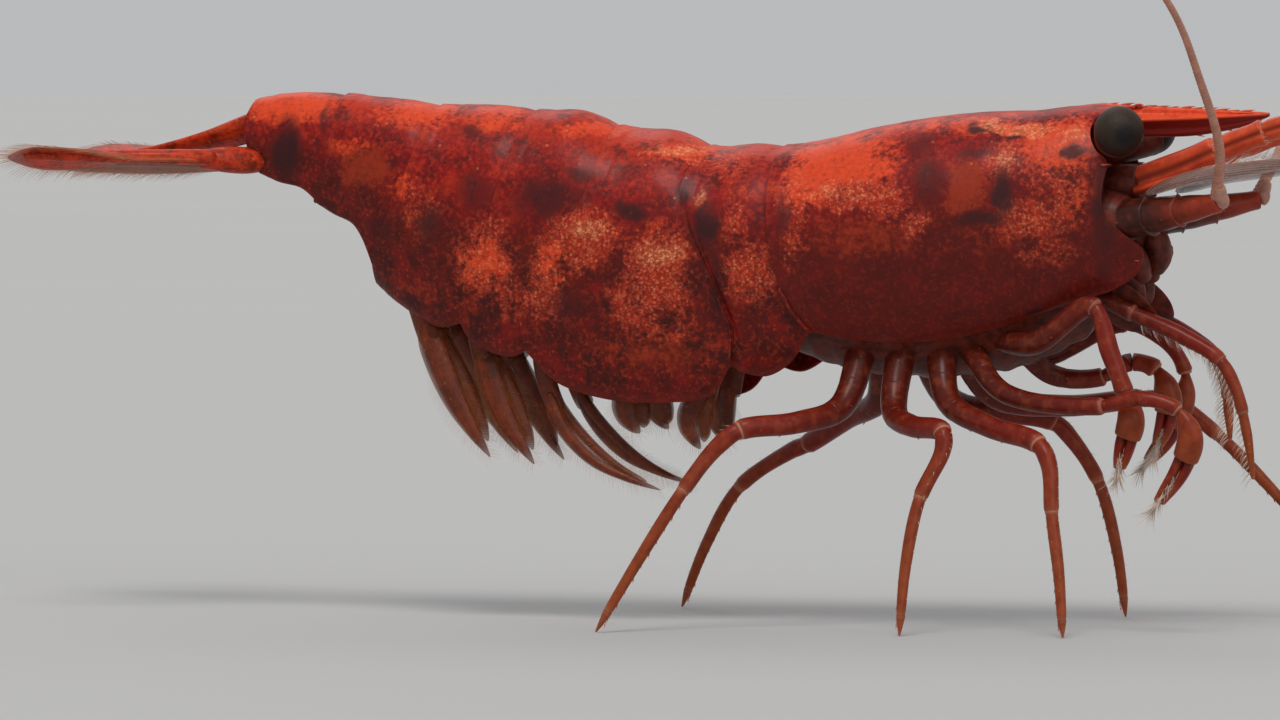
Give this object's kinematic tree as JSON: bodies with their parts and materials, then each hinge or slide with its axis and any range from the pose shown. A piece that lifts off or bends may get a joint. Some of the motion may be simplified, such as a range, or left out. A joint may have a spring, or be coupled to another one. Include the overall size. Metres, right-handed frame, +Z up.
{
  "type": "red cherry shrimp",
  "caption": "Life-size still model of an adult female freshwater shrimp standing on its legs, with a plated body, stalked eyes, long feelers and a spread tail fan.",
  "frame": {"origin": "floor level, under the middle of the whole model's length and width", "axes": "+X ahead of the shrimp, +Z up from the floor, its right side towards -Y"},
  "size_m": [0.0402, 0.032, 0.0206],
  "materials": {
    "shell": "smooth translucent shell, deep red with orange and dark speckles",
    "rostrum": "smooth orange-red shell, darker along the lower edge",
    "eye": "glossy near-black with fine facets",
    "flesh": "soft brown-red underside",
    "limb": "smooth red-brown with pale joints",
    "fin": "thin translucent orange-red blades with pale hair fringes",
    "feeler": "ringed translucent red feelers"
  },
  "bodies": {
    "root": {"carapace": "shell", "rostrum": "rostrum", "face": "flesh", "thorax": "flesh", "eye_right": "eye", "eyestalk_right": "flesh", "antennule_right": "feeler", "antenna_right": "feeler", "antennal_scale_right": "fin", "maxilliped_right": "limb", "eye_left": "eye", "eyestalk_left": "flesh", "antennule_left": "feeler", "antenna_left": "feeler", "antennal_scale_left": "fin", "maxilliped_left": "limb", "leg_1_right": "limb", "leg_2_right": "limb", "leg_3_right": "limb", "leg_4_right": "limb", "leg_5_right": "limb", "leg_1_left": "limb", "leg_2_left": "limb", "leg_3_left": "limb", "leg_4_left": "limb", "leg_5_left": "limb", "abdomen_1": "shell", "abdomen_2": "shell", "abdomen_3": "shell", "abdomen_4": "shell", "abdomen_5": "shell", "abdomen_6": "shell", "telson": "fin", "uropod_outer_right": "fin", "uropod_inner_right": "fin", "pleopod_1_right": "fin", "pleopod_2_right": "fin", "pleopod_3_right": "fin", "pleopod_4_right": "fin", "pleopod_5_right": "fin", "uropod_outer_left": "fin", "uropod_inner_left": "fin", "pleopod_1_left": "fin", "pleopod_2_left": "fin", "pleopod_3_left": "fin", "pleopod_4_left": "fin", "pleopod_5_left": "fin"}
  },
  "joints": []
}
